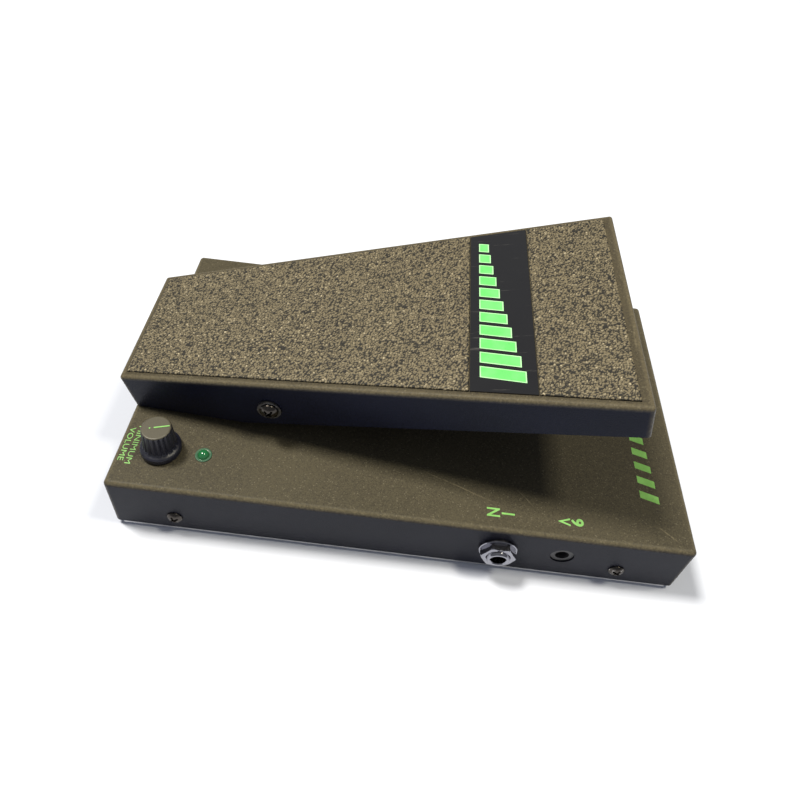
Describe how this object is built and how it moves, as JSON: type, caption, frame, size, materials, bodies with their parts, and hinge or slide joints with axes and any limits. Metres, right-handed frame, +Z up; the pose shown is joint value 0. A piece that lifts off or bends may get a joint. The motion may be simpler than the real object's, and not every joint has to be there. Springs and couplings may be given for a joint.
{
  "type": "volume pedal",
  "caption": "Foot-rocked optical volume pedal: folded steel base, tapered treadle with grip mats, minimum-volume knob, status lamp, plug jacks and power jack.",
  "frame": {"origin": "on the ground under the middle of the pedal's outline", "axes": "+X from the heel to the toe, +Y to the player's left, +Z up"},
  "size_m": [0.2446, 0.1568, 0.0985],
  "materials": {
    "base_paint": "fine satin black powder coat, worn along the bends",
    "treadle_paint": "fine satin black powder coat",
    "plate_steel": "zinc-plated sheet, satin",
    "bracket_steel": "black zinc-plated steel, satin",
    "grip_mat": "pebbled matt rubber, brown-grey",
    "label_gloss": "gloss black plate with a printed green scale",
    "legend_green": "bright green print",
    "rubber": "matt black rubber",
    "black_screws": "blackened steel, glossy",
    "nickel": "nickel-plated steel",
    "chrome": "bright nickel-chrome plate",
    "rivet_metal": "satin aluminium",
    "nylon": "natural nylon",
    "dark_plastic": "black moulded plastic",
    "knob_plastic": "satin black moulded plastic, fluted",
    "lamp_green": "tinted green epoxy",
    "cell_face": "light cell with a resin face",
    "board_green": "fibreglass board with green solder mask",
    "can_sleeve": "printed film sleeve, plain",
    "film_case": "red dipped film capacitor",
    "resistor_coat": "tan lacquer",
    "battery_wrap": "plain wrapped steel case",
    "foam": "open-cell foam",
    "wire_red": "insulation",
    "wire_white": "insulation",
    "wire_grey": "insulation",
    "wire_green": "insulation",
    "wire_black": "insulation"
  },
  "bodies": {
    "base": {"base_cover": "base_paint", "bottom_plate": "plate_steel", "rubber_feet": "rubber", "cover_screws": "black_screws", "pivot_bracket": "bracket_steel", "bracket_rivets": "rivet_metal", "pivot_screws": "black_screws", "pivot_nuts": "nickel", "friction_washers": "nylon", "light_sensor_housing": "dark_plastic", "sensor_lamp": "lamp_green", "light_cell": "cell_face", "heel_stop": "rubber", "heel_stop_screw": "nickel", "heel_stop_nut": "nickel", "toe_stop": "rubber", "pot_body": "nickel", "pot_washer": "nickel", "pot_nut": "nickel", "status_lamp": "lamp_green", "lamp_bezel": "dark_plastic", "input_jack_bushing": "chrome", "output_jack_bushing": "chrome", "input_jack_body": "dark_plastic", "output_jack_body": "dark_plastic", "jack_washers": "chrome", "jack_nuts": "chrome", "power_jack": "dark_plastic", "power_jack_pin": "nickel", "circuit_board": "board_green", "board_standoffs": "nickel", "board_screws": "nickel", "amplifier_chips": "dark_plastic", "electrolytic_capacitors": "can_sleeve", "film_capacitors": "film_case", "resistors": "resistor_coat", "battery": "battery_wrap", "battery_snap": "dark_plastic", "battery_bay": "dark_plastic", "battery_leads": "wire_red", "jack_leads": "wire_white", "control_leads": "wire_grey", "lamp_leads": "wire_green", "power_leads": "wire_black"},
    "treadle": {"treadle_shell": "treadle_paint", "heel_grip_mat": "grip_mat", "toe_grip_mat": "grip_mat", "label_plate": "label_gloss", "pivot_bushes": "nickel", "shutter_blade": "dark_plastic", "shutter_rivets": "rivet_metal"},
    "knob": {"minimum_volume_knob": "knob_plastic", "knob_pointer": "legend_green", "pot_shaft": "nickel"},
    "battery_door": {"battery_door": "dark_plastic", "door_foam": "foam"}
  },
  "joints": [
    {"name": "treadle_tilt", "type": "hinge", "parent": "base", "child": "treadle", "pos_m": [-0.05627, 0, 0.05065], "axis": [0, 1, 0], "range_deg": [0, 17.5]},
    {"name": "minimum_volume_turn", "type": "hinge", "parent": "base", "child": "knob", "pos_m": [-0.1002, -0.0537, 0.034], "axis": [0, 0, 1], "range_deg": [-167, 133]},
    {"name": "battery_door_swing", "type": "hinge", "parent": "base", "child": "battery_door", "pos_m": [0.0648, 0.03325, 0.0028], "axis": [0, 1, 0], "range_deg": [0, 95]}
  ]
}
